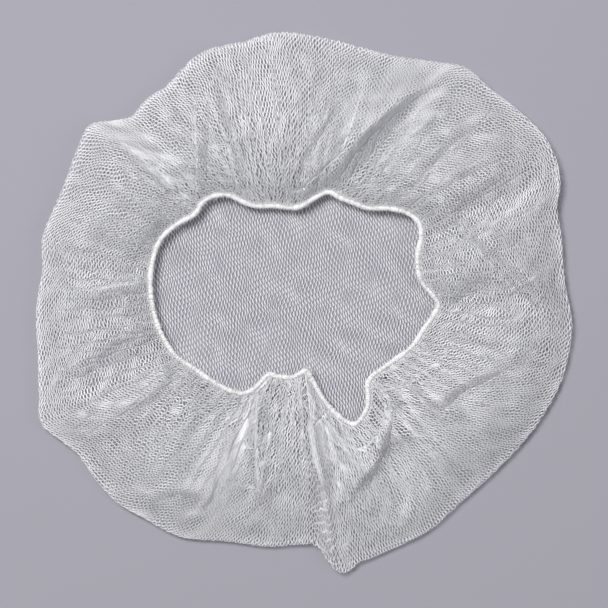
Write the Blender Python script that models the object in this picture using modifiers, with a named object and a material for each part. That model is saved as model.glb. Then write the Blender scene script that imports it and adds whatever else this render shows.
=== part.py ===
"""Disposable net hair cover with an elastic edge, relaxed and lying crown down on a flat surface.

The net is one round sheet. Its middle lies flat on the surface, and its outer part turns up and
over at the rim and runs back inwards, gathered, to the elastic round the head opening.
Metres, +Z up. The origin is under the middle of the bounding box, on the resting surface.
"""

import math
from collections import namedtuple

import bmesh
import bpy
import numpy as np

# Driving sizes
RIM_REACH = 0.147        # mean distance from the opening's middle to the turned-over rim
BAND_REACH = 0.066       # mean distance from the opening's middle to the elastic
NET_WALL = 0.001         # bulk thickness of the open net
BAND_DIAMETER = 0.0022   # overlocked elastic cord
SEAM_GAP = 0.0003        # between the net's edge and the elastic
BAND_LIFT = 0.0078       # elastic's centre above the resting surface
RIM_TURN = 0.0032        # radius of the turn at the rim
RIM_LIFT = 0.0045        # how far the rim's underside stands off the surface at most
PUFF_RISE = 0.0125       # how far the gathered layer bulges above band and rim
FOLD_RISE = 0.0095       # height of the largest fold on that layer
FOLD_WIDTH = 0.0085      # half width of an average fold
GATHER_RISE = 0.0011     # height of the small gathers beside the elastic
CREST_GROWTH = 0.75      # below one, the bulge rises steeply from the elastic
FLAT_SHARE = 0.78        # the part of the crown that lies flat, as a share of the rim's reach

# Counts
STATIONS = 136           # an even number, because gathers alternate from station to station
CROWN_RINGS = 3
TURN_RINGS = 3
GATHERED_RINGS = 12
FINE_STEPS = 1440
PATH_STEPS = 12
TINY = 1e-9

# The turned-over rim, anticlockwise from +X: angle in degrees, shares of RIM_REACH and RIM_LIFT
RimPoint = namedtuple("RimPoint", "angle reach lift")
RIM = [
    RimPoint(4, 1.008, 0.5), RimPoint(14, 1.022, 0.6), RimPoint(20, 1.040, 0.8),
    RimPoint(23, 1.073, 0.9), RimPoint(26, 1.095, 0.9), RimPoint(32, 1.111, 0.8),
    RimPoint(39, 1.096, 0.7), RimPoint(47, 1.072, 0.8), RimPoint(54, 1.071, 0.9),
    RimPoint(60, 1.026, 0.7), RimPoint(67, 0.986, 0.5), RimPoint(85, 0.985, 0.4),
    RimPoint(93, 1.000, 0.4), RimPoint(102, 0.984, 0.4), RimPoint(111, 0.985, 0.6),
    RimPoint(114, 0.973, 0.7), RimPoint(121, 0.933, 0.7), RimPoint(126, 0.933, 0.7),
    RimPoint(133, 0.925, 0.8), RimPoint(136, 0.961, 0.9), RimPoint(139, 1.001, 1.0),
    RimPoint(145, 0.990, 1.0), RimPoint(151, 0.969, 1.0), RimPoint(157, 0.961, 0.9),
    RimPoint(167, 0.970, 0.8), RimPoint(173, 0.951, 0.7), RimPoint(178, 0.959, 0.6),
    RimPoint(184, 0.971, 0.5), RimPoint(191, 0.980, 0.4), RimPoint(200, 1.019, 0.3),
    RimPoint(206, 1.056, 0.2), RimPoint(211, 1.023, 0.2), RimPoint(214, 1.003, 0.2),
    RimPoint(223, 1.006, 0.1), RimPoint(229, 1.010, 0.1), RimPoint(235, 0.995, 0.1),
    RimPoint(244, 0.986, 0.1), RimPoint(254, 0.941, 0.1), RimPoint(265, 0.928, 0.1),
    RimPoint(271, 0.917, 0.2), RimPoint(275, 0.928, 0.4), RimPoint(278.8, 1.030, 0.3),
    RimPoint(284, 1.012, 0.1), RimPoint(289, 1.002, 0.1), RimPoint(300, 0.998, 0.1),
    RimPoint(310, 0.978, 0.1), RimPoint(321, 0.989, 0.1), RimPoint(334, 1.020, 0.2),
    RimPoint(343, 1.039, 0.2), RimPoint(350, 1.041, 0.3), RimPoint(354, 1.039, 0.4),
]

# The elastic round the opening: angle in degrees, shares of BAND_REACH and BAND_LIFT
BandPoint = namedtuple("BandPoint", "angle reach lift")
BAND = [
    BandPoint(1, 1.150, 1.05), BandPoint(8, 1.059, 1.10), BandPoint(15, 1.052, 1.12),
    BandPoint(21, 1.089, 1.15), BandPoint(27, 1.174, 1.15), BandPoint(32, 1.205, 1.12),
    BandPoint(37, 1.179, 1.10), BandPoint(44, 1.085, 1.05), BandPoint(51, 0.973, 1.02),
    BandPoint(59, 0.935, 1.02), BandPoint(66, 0.921, 1.05), BandPoint(73, 0.930, 1.08),
    BandPoint(79, 0.858, 1.05), BandPoint(85, 0.786, 1.00), BandPoint(103, 0.797, 0.98),
    BandPoint(117, 0.894, 1.02), BandPoint(123, 1.030, 1.08), BandPoint(129, 1.097, 1.12),
    BandPoint(133, 1.114, 1.12), BandPoint(140, 1.095, 1.10), BandPoint(147, 1.158, 1.08),
    BandPoint(156, 1.224, 1.10), BandPoint(165, 1.227, 1.12), BandPoint(181, 1.192, 1.10),
    BandPoint(196, 1.142, 1.02), BandPoint(206, 1.092, 0.98), BandPoint(214, 1.021, 0.96),
    BandPoint(225, 0.967, 0.95), BandPoint(236, 0.924, 0.95), BandPoint(242, 0.880, 0.96),
    BandPoint(245.5, 0.806, 0.98), BandPoint(248.5, 0.700, 1.00), BandPoint(257, 0.659, 1.02),
    BandPoint(269, 0.642, 1.05), BandPoint(275, 0.610, 1.10), BandPoint(279, 0.600, 1.15),
    BandPoint(281.5, 0.665, 1.08), BandPoint(283.5, 0.755, 1.00), BandPoint(286, 0.876, 0.98),
    BandPoint(290, 1.020, 0.95), BandPoint(295, 1.144, 0.95), BandPoint(299, 1.130, 1.00),
    BandPoint(302, 1.098, 1.05), BandPoint(305, 1.055, 1.08), BandPoint(307.5, 0.990, 1.10),
    BandPoint(310.5, 0.922, 1.10), BandPoint(314, 0.902, 1.08), BandPoint(320, 0.917, 1.05),
    BandPoint(329, 0.968, 1.02), BandPoint(338, 1.045, 1.00), BandPoint(347, 1.095, 1.00),
    BandPoint(353, 1.150, 1.02), BandPoint(358.5, 1.185, 1.02),
]

# Folds of the gathered layer. Each runs through three places, given by angle in degrees and by
# way, the share of the way from elastic to rim. Width and rise are shares of FOLD_WIDTH and
# FOLD_RISE, a negative rise is a hollow, and lean steepens the fold's right-hand side.
Fold = namedtuple("Fold", "angle_1 way_1 angle_2 way_2 angle_3 way_3 width rise lean")
FOLDS = [
    Fold(118, 0.05, 113.3, 0.50, 109.5, 1.00, 0.60, 0.50, 0.2),
    Fold(131, 0.08, 121, 0.50, 110, 1.00, 0.60, 0.45, 0.2),
    Fold(107.5, 0.00, 91, 0.47, 87, 0.90, 1.30, 0.50, 0.3),
    Fold(96, 0.02, 84.5, 0.40, 75, 0.68, 0.60, 0.40, 0.3),
    Fold(88, 0.00, 78.5, 0.26, 72.5, 0.50, 0.50, 0.40, 0.2),
    Fold(75.5, 0.00, 67.5, 0.47, 55, 1.00, 0.95, 1.00, 0.5),
    Fold(63.4, 0.08, 61.5, 0.35, 56.5, 0.75, 0.60, -0.50, 0.0),
    Fold(64, 0.10, 61, 0.20, 57, 0.32, 0.40, 0.30, 0.0),
    Fold(44.5, 0.05, 46.8, 0.55, 41.5, 1.00, 0.60, 0.45, 0.2),
    Fold(41.5, 0.02, 38, 0.45, 34, 0.85, 0.60, 0.45, 0.2),
    Fold(30, 0.00, 32.3, 0.35, 33, 0.70, 1.10, 0.75, 0.4),
    Fold(24, 0.15, 26, 0.55, 24, 0.92, 1.10, -0.65, 0.0),
    Fold(27, 0.27, 11, 0.60, -6.5, 1.00, 0.85, 0.90, 0.4),
    Fold(-5.5, 0.03, 2.5, 0.45, -9, 0.80, 0.80, -0.70, 0.0),
    Fold(4, 0.05, 10, 0.30, 14, 0.45, 1.30, 0.50, 0.0),
    Fold(-18, 0.05, -21, 0.20, -23.5, 0.35, 0.40, 0.35, 0.0),
    Fold(-31, 0.02, -34.5, 0.25, -37.5, 0.47, 0.90, 0.80, 0.4),
    Fold(-37.5, 0.47, -27, 0.42, -14, 0.66, 0.50, 0.55, 0.0),
    Fold(-45.5, 0.04, -44.5, 0.17, -52, 0.21, 0.60, 0.70, 0.0),
    Fold(-52, 0.21, -63, 0.30, -75.5, 0.62, 0.60, 0.80, -0.4),
    Fold(-54, 0.30, -59, 0.50, -66, 0.72, 1.50, -0.75, 0.0),
    Fold(-44, 0.60, -36, 0.75, -26, 0.80, 1.60, 0.30, 0.0),
    Fold(-81.5, 0.10, -83.2, 0.35, -80, 0.65, 0.50, 0.55, 0.0),
    Fold(-102, 0.03, -92, 0.38, -87, 0.72, 1.00, 0.55, 0.2),
    Fold(-113, 0.02, -105, 0.42, -97, 0.80, 0.50, 0.55, 0.2),
    Fold(-117, 0.10, -115, 0.32, -112, 0.58, 0.40, 0.35, 0.0),
    Fold(-138, 0.05, -134.5, 0.26, -128, 0.45, 0.90, 0.40, 0.0),
    Fold(-158, 0.03, -148, 0.25, -150, 0.62, 0.70, 0.60, -0.3),
    Fold(-125, 0.98, -123.5, 0.75, -114, 0.70, 0.35, 0.40, 0.0),
    Fold(174.5, 0.02, 175.5, 0.25, 180, 0.60, 0.50, 0.50, 0.0),
    Fold(188, 0.03, 193, 0.42, 200, 0.95, 0.60, 0.45, 0.0),
    Fold(201, 0.15, 202, 0.45, 203, 0.80, 1.00, -0.40, 0.0),
    Fold(169, 0.02, 166, 0.30, 163, 0.70, 0.80, -0.60, 0.0),
    Fold(155, 0.02, 148.5, 0.38, 139, 1.00, 1.20, 0.60, 0.2),
    Fold(143.5, 0.03, 140.8, 0.33, 139.6, 0.68, 0.35, 0.30, 0.0),
    Fold(133, 0.40, 131, 0.65, 129, 0.90, 1.00, -0.40, 0.0),
]


def around(rows, column, angles):
    """The column's value at each angle, on a smooth closed curve through the rows."""
    ordered = sorted(rows, key=lambda row: row.angle % 360)
    at = np.array([row.angle % 360 for row in ordered])
    value = np.array([getattr(row, column) for row in ordered])
    at = np.concatenate([at[-2:] - 360, at, at[:2] + 360])
    value = np.concatenate([value[-2:], value, value[:2]])
    step = np.diff(at)
    slope = np.diff(value) / step
    bend = np.zeros(len(at))
    bend[1:-1] = (slope[:-1] * step[1:] + slope[1:] * step[:-1]) / (step[:-1] + step[1:])
    angles = np.asarray(angles) % 360
    row = np.clip(np.searchsorted(at, angles, side="right") - 1, 1, len(at) - 3)
    t = (angles - at[row]) / step[row]
    return (
        value[row] * (1 + 2 * t) * (1 - t) ** 2
        + bend[row] * step[row] * t * (1 - t) ** 2
        + value[row + 1] * t**2 * (3 - 2 * t)
        + bend[row + 1] * step[row] * t**2 * (t - 1)
    )


def smooth(t):
    t = np.clip(t, 0, 1)
    return t * t * (3 - 2 * t)


def direction(angles):
    radians = np.radians(angles)
    return np.stack([np.cos(radians), np.sin(radians)], axis=-1)


def plan(angles, way):
    """Places in plan on the gathered layer, from way 0 at the elastic to way 1 at the rim."""
    inner = BAND_REACH * around(BAND, "reach", angles)
    outer = RIM_REACH * around(RIM, "reach", angles)
    return direction(angles) * (inner + (outer - inner) * way)[..., None]


def station_angles():
    """Angles spread evenly along both the elastic and the rim, so that tight bends get more."""
    fine = np.linspace(0, 360, FINE_STEPS + 1)
    band = plan(fine, np.zeros(len(fine)))
    travel = np.linalg.norm(np.diff(band, axis=0), axis=1) / BAND_REACH
    travel = np.concatenate([[0], np.cumsum(travel + math.tau / FINE_STEPS)])
    wanted = np.linspace(0, travel[-1], STATIONS, endpoint=False)
    return np.interp(wanted, travel, fine)


def fold_path(fold):
    """The fold's line in plan, a curve through its three places."""
    t = np.linspace(0, 1, PATH_STEPS + 1)
    first = (1 - t) * (1 - 2 * t)
    middle = 4 * t * (1 - t)
    last = t * (2 * t - 1)
    angles = first * fold.angle_1 + middle * fold.angle_2 + last * fold.angle_3
    way = first * fold.way_1 + middle * fold.way_2 + last * fold.way_3
    return plan(angles, way)


def fold_height(fold, points):
    """How far one fold lifts each point, by its distance from the fold's line."""
    path = fold_path(fold)
    start = path[:-1]
    along = path[1:] - start
    length = np.linalg.norm(along, axis=1)
    offset = points[..., None, :] - start
    share = np.clip((offset * along).sum(axis=-1) / length**2, 0, 1)
    gap = offset - share[..., None] * along
    distance = np.linalg.norm(gap, axis=-1)
    nearest = distance.argmin(axis=-1)[..., None]
    side = (along[:, 0] * gap[..., 1] - along[:, 1] * gap[..., 0]) / (length * (distance + TINY))
    distance = np.take_along_axis(distance, nearest, -1)[..., 0]
    side = np.take_along_axis(side, nearest, -1)[..., 0]
    share = np.take_along_axis(share, nearest, -1)[..., 0]
    run = (nearest[..., 0] + share) / PATH_STEPS
    width = FOLD_WIDTH * fold.width * (1 + fold.lean * side)
    ends = (0.3 + 0.7 * smooth(run / 0.25)) * (0.3 + 0.7 * smooth((1 - run) / 0.3))
    return FOLD_RISE * fold.rise * ends * np.exp(-((distance / width) ** 2))


def rim_lift(angles):
    return RIM_LIFT * around(RIM, "lift", angles)


def gathered_height(angles, way, points, gather):
    """Height of the gathered layer's outer face. gather is 1 or -1, by turns, at the stations."""
    at_band = BAND_LIFT * around(BAND, "lift", angles) + NET_WALL / 2
    at_rim = rim_lift(angles) + 2 * RIM_TURN
    bulge = PUFF_RISE * np.sin(math.pi * way) ** CREST_GROWTH
    hold = smooth(way / 0.14) * (0.25 + 0.75 * smooth((1 - way) / 0.3))
    folds = hold * sum(fold_height(fold, points) for fold in FOLDS)
    gathers = GATHER_RISE * gather * (1 - np.exp(-way / 0.03)) * np.exp(-way / 0.2)
    return at_band + (at_rim - at_band) * smooth(way) + bulge + folds + gathers


def band_line(angles):
    """The elastic's centre line, and the level direction square to it that points outwards."""
    centre = plan(angles, np.zeros(len(angles)))
    along = np.roll(centre, -1, axis=0) - np.roll(centre, 1, axis=0)
    along /= np.linalg.norm(along, axis=1)[:, None]
    outwards = np.stack([along[:, 1], -along[:, 0]], axis=1)
    height = BAND_LIFT * around(BAND, "lift", angles)
    return np.column_stack([centre, height]), outwards


def net_rings(angles):
    """The net's outer face as closed rings, from the middle of the crown to the elastic."""
    rings = []
    rim = plan(angles, np.ones(len(angles)))
    reach = np.linalg.norm(rim, axis=1)
    lift = rim_lift(angles)
    outwards = direction(angles)
    for share in np.linspace(FLAT_SHARE, 1, CROWN_RINGS):
        flat = share * (reach - RIM_TURN)
        raised = lift * smooth((share - FLAT_SHARE) / (1 - FLAT_SHARE))
        rings.append(np.column_stack([outwards * flat[:, None], raised]))
    for turn in np.linspace(-90, 90, TURN_RINGS + 2)[1:-1]:
        out = reach - RIM_TURN + RIM_TURN * math.cos(math.radians(turn))
        up = lift + RIM_TURN + RIM_TURN * math.sin(math.radians(turn))
        rings.append(np.column_stack([outwards * out[:, None], up]))
    centre, square = band_line(angles)
    edge = centre[:, :2] + square * (BAND_DIAMETER / 2 + SEAM_GAP)
    shoulder = outwards * (reach - RIM_TURN)[:, None]
    gather = np.where(np.arange(STATIONS) % 2, -1.0, 1.0)
    for way in np.linspace(1, 0, GATHERED_RINGS):
        level = edge + (shoulder - edge) * way
        height = gathered_height(angles, np.full(len(angles), way), level, gather)
        rings.append(np.column_stack([level, height]))
    return rings


def bounding_middle(rings):
    points = np.concatenate(rings)[:, :2]
    return (points.min(axis=0) + points.max(axis=0)) / 2


def make_material(name, colour, roughness, alpha=1.0):
    material = bpy.data.materials.new(name)
    material.use_nodes = True
    shader = material.node_tree.nodes["Principled BSDF"]
    shader.inputs["Base Color"].default_value = (*colour, 1)
    shader.inputs["Roughness"].default_value = roughness
    shader.inputs["Metallic"].default_value = 0
    shader.inputs["Alpha"].default_value = alpha
    return material


def make_net(rings, middle, collection):
    """An open sheet through the rings, given its wall inwards."""
    mesh = bmesh.new()
    crown = mesh.verts.new((-middle[0], -middle[1], 0))
    levels = []
    for ring in rings:
        levels.append([mesh.verts.new((x - middle[0], y - middle[1], z)) for x, y, z in ring])
    for i in range(STATIONS):
        j = (i + 1) % STATIONS
        mesh.faces.new((crown, levels[0][j], levels[0][i]))
        for low, high in zip(levels, levels[1:]):
            mesh.faces.new((low[i], low[j], high[j], high[i]))
    data = bpy.data.meshes.new("net_body")
    mesh.to_mesh(data)
    mesh.free()
    data.shade_smooth()
    net = bpy.data.objects.new("net_body", data)
    collection.objects.link(net)
    wall = net.modifiers.new("wall", "SOLIDIFY")
    wall.thickness = NET_WALL
    wall.offset = -1
    data.materials.append(make_material("white_nylon_net", (0.78, 0.78, 0.82), 0.55))


def make_band(angles, middle, collection):
    """The elastic, a closed loop beside the net's edge."""
    centre, _ = band_line(angles)
    curve = bpy.data.curves.new("elastic_band", "CURVE")
    curve.dimensions = "3D"
    curve.bevel_depth = BAND_DIAMETER / 2
    curve.bevel_resolution = 2
    spline = curve.splines.new("POLY")
    spline.points.add(len(centre) - 1)
    for point, (x, y, z) in zip(spline.points, centre):
        point.co = (x - middle[0], y - middle[1], z, 1)
    spline.use_cyclic_u = True
    band = bpy.data.objects.new("elastic_band", curve)
    collection.objects.link(band)
    curve.materials.append(make_material("white_overlocked_elastic", (0.86, 0.86, 0.87), 0.8))


def main():
    for old in list(bpy.data.objects):
        bpy.data.objects.remove(old, do_unlink=True)
    collection = bpy.data.collections.new("hairnet")
    bpy.context.scene.collection.children.link(collection)
    angles = station_angles()
    rings = net_rings(angles)
    middle = bounding_middle(rings)
    make_net(rings, middle, collection)
    make_band(angles, middle, collection)


main()
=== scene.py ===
"""Looks of the disposable net hair cover: knitted nylon net, gathered into an overlocked elastic.

The net is built strand by strand. Its cells are laid out on the flat cut of the fabric, and every
knot is then carried to its place: on the crown, round the turned-over rim, or up on the gathered
layer, whose form is the form of the CAD solid with finer gathers.
"""

import math
from collections import namedtuple

import bpy
import numpy as np
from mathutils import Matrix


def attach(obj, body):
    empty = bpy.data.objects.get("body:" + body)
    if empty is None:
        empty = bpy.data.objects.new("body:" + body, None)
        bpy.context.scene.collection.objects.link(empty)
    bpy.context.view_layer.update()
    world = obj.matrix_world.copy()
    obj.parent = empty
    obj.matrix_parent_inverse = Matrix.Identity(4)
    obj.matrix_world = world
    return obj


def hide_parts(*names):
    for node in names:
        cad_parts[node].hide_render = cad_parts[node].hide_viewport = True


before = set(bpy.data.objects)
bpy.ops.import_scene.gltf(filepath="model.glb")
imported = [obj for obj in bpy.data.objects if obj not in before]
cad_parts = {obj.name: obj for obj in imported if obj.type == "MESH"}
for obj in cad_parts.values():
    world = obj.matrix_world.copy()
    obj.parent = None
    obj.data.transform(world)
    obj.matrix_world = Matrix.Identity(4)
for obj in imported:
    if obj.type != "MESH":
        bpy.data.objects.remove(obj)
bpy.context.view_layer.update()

# Sizes of the solids, as in the CAD source
RIM_REACH = 0.147
BAND_REACH = 0.066
NET_WALL = 0.001
BAND_DIAMETER = 0.0022
SEAM_GAP = 0.0003
BAND_LIFT = 0.0078
RIM_TURN = 0.0032
RIM_LIFT = 0.0045
PUFF_RISE = 0.0125
FOLD_RISE = 0.0095
FOLD_WIDTH = 0.0085
CREST_GROWTH = 0.75
FLAT_SHARE = 0.78
PATH_STEPS = 12
TINY = 1e-9
MILLIMETRE = 0.001

# The knitted net. The photo can't give the strands' sizes, so they are set for the look.
COLUMN = np.array([0.001584, 0.000841])    # from one knitted column to the next
REPEAT = np.array([0.000286, 0.003157])    # from one hole to the next along a column
COUNTED_COLUMN = 0.0015       # both spacings rounded down, to count how many are laid out
COUNTED_REPEAT = 0.0031
COLUMN_SLANT = 0.27           # extra rows for each column, because columns step sideways
LINK_PLACE = 0.25             # where the links meet a column, as a share of REPEAT
ZIGZAG = 0.00030              # how far a column swings to each side at its links
KNOT_DRIFT = 0.00045          # how far neighbouring knots wander together
DRIFT_LENGTH = 0.016
KNOT_JITTER = 0.00006         # how far each knot wanders by itself
CHAIN_WIDTH = 0.00070         # a column's chain stitches on the crown
GATHERED_WIDTH = 0.00064      # the same stitches on the gathered layer
GATHERED_FROM = 0.05          # where that width starts, as a share of the way to the elastic
RETURN_WIDTH = 0.00032        # a column's return stitches
LINK_WIDTH = 0.00028          # the links from column to column
FINEST = 0.3                  # how narrow strands become where the net is packed, as a share
CROWN_STRAND_RISE = 0.00025   # how high a strand stands on the crown
STRAND_RISE = 0.00038         # and on the gathered layer
STRAND_OVERLAP = 0.00006      # how far a strand runs past each of its ends
CUT_REACH = 0.238             # mean radius of the flat cut, relaxed
CUT_EVENNESS = 0.15           # one gives a round cut, zero an unstretched one
CUT_WINDOW = 91               # grid angles over which the cut's radius is averaged
CUT_MARGIN = 0.0006           # knots up to this far past the cut are kept
OFF_THE_CUT = 9.0             # stands for the way of a knot that isn't kept

# The surface grid
GRID_ANGLES = 4320
GRID_WAYS = 200
WRAP = 240               # angles repeated past each end when values are read between them

# The soft edge where the net turns over
EDGE_TURN = 0.0007
EDGE_FALL = 0.014        # both layers close in on the edge over this distance

# The gathers at the elastic
PLEATS = 110
PLEAT_RISE = 0.0008
PLEAT_WIDTH = 0.0014
PLEAT_REACH = 0.016
HELD_AT_BAND = 0.0012    # gathers and hidden pleats fade out this near the elastic

# Narrow tucks beside the folds and ribbons, which take some of the spare fabric
TUCK_WIDTH = 0.00026
TUCK_DEPTH = 0.0020
TUCK_FADE = 0.003        # they fade out this near the elastic
MOST_TUCKED = 0.5        # extra fabric in a tuck of size one, as a share

# Pleats that hang below the gathered layer and hide the rest of the spare fabric
HIDDEN_PLEATS = 130
PLEAT_WALLS = 1.65       # two walls each, less what their coarse grid loses
PLEAT_SLOT = 0.00016     # half the width of a hidden pleat's opening
LEAST_SLOT = 1.1         # and its least, in grid angles
PLEAT_SWAY = 0.0006      # how far a pleat wanders sideways on its way to the elastic
SWAY_RATES = (5, 11, 23)
PLEAT_MARGIN = 8         # grid angles worked out past each side of a pleat
LEAST_UNDER = 0.0016     # the lowest that a hidden pleat reaches, over the surface
AVERAGED = 6.0           # degrees over which the spare fabric is averaged

# Small creases and ripples
CREASES = 90
RIPPLE_RISE = 0.0006
RIPPLE_LENGTH = 0.022

# The crown layer
CROWN_BASE = 0.0003
CROWN_WAVES = 0.0008     # mean height of its faint waves
CROWN_RIPPLE = 0.00025
CROWN_WAVELENGTH = 0.035

# Narrow ribbons of folded net: turning places in millimetres from the middle, then width, rise
# and how much fabric is tucked in
Ribbon = namedtuple("Ribbon", "places width rise tucked")
RIBBONS = [
    Ribbon([(-21, -48), (-21.5, -77), (-20.5, -104)], 0.0006, 0.0015, 9.0),
    Ribbon([(9.5, -55), (7.7, -71), (10, -83), (14, -97)], 0.0009, 0.0018, 5.0),
    Ribbon([(44, -47), (52, -55), (50, -66), (44, -77)], 0.0010, 0.0018, 5.0),
    Ribbon([(16.5, -62), (9.5, -69)], 0.0006, 0.0007, 1.5),
    Ribbon([(-110, 5.5), (-96, 8), (-81.5, 9.5)], 0.0008, 0.0012, 4.0),
    Ribbon([(-37, 85), (-32, 60)], 0.0006, 0.0012, 5.0),
    Ribbon([(25, 80), (3, 60)], 0.0006, 0.0010, 4.0),
    Ribbon([(-55, 110), (-54, 77), (-54.5, 49)], 0.0008, 0.0016, 2.0),
    Ribbon([(96, 40), (119, 15), (149, -12)], 0.0036, 0.0018, 1.3),
    Ribbon([(91, 36), (115, 11), (144, -17)], 0.0008, -0.0016, 0.0),
    Ribbon([(113, 57), (80, 21)], 0.0009, -0.0014, 0.0),
]
CROWN_FOLD = Ribbon([(-63, 30), (-44, 11), (-25, 0), (3, -15), (19, -27), (30, -50), (34, -60)],
                    0.0030, 0.0013, 0.0)

# The elastic, the threads wound round it and its edge stitches
CORE_RADIUS = 0.00118
CORE_STEP = 0.0005       # from ring to ring of the core
THREAD_STEP = 0.00009    # and of the threads
BAND_PLACES = 7200       # places at which the elastic's line is read
Winding = namedtuple("Winding", "pitch reach radius way_round")
WINDINGS = [Winding(0.0015, 0.00132, 0.00021, 1), Winding(0.0023, 0.00140, 0.00017, -1)]
STITCH_PITCH = 0.0013
STITCH_START = 0.0006    # an edge stitch swings from here
STITCH_REACH = 0.0019    # this much further out, into the net
STITCH_OVER = 0.0013     # and passes over the core at this distance
STITCH_LOWEST = 0.0007
STITCH_RADIUS = 0.00017

# Its fuzz, and the tuft at its frayed end
LINT_HAIRS = 3400
LINT_START = 0.0011      # how far from the centre line a hair starts
HAIR_PLACES = np.array([0, 0.5, 1.0])[:, None]
FRAYED_END = (0.0022, -0.0371)
FRAYED_HAIRS = 90
FRAYED_RADIUS = 0.00008

# The view: the photo's scale, its middle, and a distant camera
PIXEL = 0.00055
PHOTO_SIZE = 608
VIEW_MIDDLE = (0.0, -0.0008)
CAMERA_HEIGHT = 2.4
SENSOR_WIDTH = 36

# The surface it lies on
FLOOR_HALF = 3.0
FLOOR_DROP = 0.00005
FLOOR_COLOUR = (0.366, 0.360, 0.408, 1)

RimPoint = namedtuple("RimPoint", "angle reach lift")
RIM = [
    RimPoint(4, 1.008, 0.5), RimPoint(14, 1.022, 0.6), RimPoint(20, 1.040, 0.8),
    RimPoint(23, 1.073, 0.9), RimPoint(26, 1.095, 0.9), RimPoint(32, 1.111, 0.8),
    RimPoint(39, 1.096, 0.7), RimPoint(47, 1.072, 0.8), RimPoint(54, 1.071, 0.9),
    RimPoint(60, 1.026, 0.7), RimPoint(67, 0.986, 0.5), RimPoint(85, 0.985, 0.4),
    RimPoint(93, 1.000, 0.4), RimPoint(102, 0.984, 0.4), RimPoint(111, 0.985, 0.6),
    RimPoint(114, 0.973, 0.7), RimPoint(121, 0.933, 0.7), RimPoint(126, 0.933, 0.7),
    RimPoint(133, 0.925, 0.8), RimPoint(136, 0.961, 0.9), RimPoint(139, 1.001, 1.0),
    RimPoint(145, 0.990, 1.0), RimPoint(151, 0.969, 1.0), RimPoint(157, 0.961, 0.9),
    RimPoint(167, 0.970, 0.8), RimPoint(173, 0.951, 0.7), RimPoint(178, 0.959, 0.6),
    RimPoint(184, 0.971, 0.5), RimPoint(191, 0.980, 0.4), RimPoint(200, 1.019, 0.3),
    RimPoint(206, 1.056, 0.2), RimPoint(211, 1.023, 0.2), RimPoint(214, 1.003, 0.2),
    RimPoint(223, 1.006, 0.1), RimPoint(229, 1.010, 0.1), RimPoint(235, 0.995, 0.1),
    RimPoint(244, 0.986, 0.1), RimPoint(254, 0.941, 0.1), RimPoint(265, 0.928, 0.1),
    RimPoint(271, 0.917, 0.2), RimPoint(275, 0.928, 0.4), RimPoint(278.8, 1.030, 0.3),
    RimPoint(284, 1.012, 0.1), RimPoint(289, 1.002, 0.1), RimPoint(300, 0.998, 0.1),
    RimPoint(310, 0.978, 0.1), RimPoint(321, 0.989, 0.1), RimPoint(334, 1.020, 0.2),
    RimPoint(343, 1.039, 0.2), RimPoint(350, 1.041, 0.3), RimPoint(354, 1.039, 0.4),
]

BandPoint = namedtuple("BandPoint", "angle reach lift")
BAND = [
    BandPoint(1, 1.150, 1.05), BandPoint(8, 1.059, 1.10), BandPoint(15, 1.052, 1.12),
    BandPoint(21, 1.089, 1.15), BandPoint(27, 1.174, 1.15), BandPoint(32, 1.205, 1.12),
    BandPoint(37, 1.179, 1.10), BandPoint(44, 1.085, 1.05), BandPoint(51, 0.973, 1.02),
    BandPoint(59, 0.935, 1.02), BandPoint(66, 0.921, 1.05), BandPoint(73, 0.930, 1.08),
    BandPoint(79, 0.858, 1.05), BandPoint(85, 0.786, 1.00), BandPoint(103, 0.797, 0.98),
    BandPoint(117, 0.894, 1.02), BandPoint(123, 1.030, 1.08), BandPoint(129, 1.097, 1.12),
    BandPoint(133, 1.114, 1.12), BandPoint(140, 1.095, 1.10), BandPoint(147, 1.158, 1.08),
    BandPoint(156, 1.224, 1.10), BandPoint(165, 1.227, 1.12), BandPoint(181, 1.192, 1.10),
    BandPoint(196, 1.142, 1.02), BandPoint(206, 1.092, 0.98), BandPoint(214, 1.021, 0.96),
    BandPoint(225, 0.967, 0.95), BandPoint(236, 0.924, 0.95), BandPoint(242, 0.880, 0.96),
    BandPoint(245.5, 0.806, 0.98), BandPoint(248.5, 0.700, 1.00), BandPoint(257, 0.659, 1.02),
    BandPoint(269, 0.642, 1.05), BandPoint(275, 0.610, 1.10), BandPoint(279, 0.600, 1.15),
    BandPoint(281.5, 0.665, 1.08), BandPoint(283.5, 0.755, 1.00), BandPoint(286, 0.876, 0.98),
    BandPoint(290, 1.020, 0.95), BandPoint(295, 1.144, 0.95), BandPoint(299, 1.130, 1.00),
    BandPoint(302, 1.098, 1.05), BandPoint(305, 1.055, 1.08), BandPoint(307.5, 0.990, 1.10),
    BandPoint(310.5, 0.922, 1.10), BandPoint(314, 0.902, 1.08), BandPoint(320, 0.917, 1.05),
    BandPoint(329, 0.968, 1.02), BandPoint(338, 1.045, 1.00), BandPoint(347, 1.095, 1.00),
    BandPoint(353, 1.150, 1.02), BandPoint(358.5, 1.185, 1.02),
]

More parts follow.
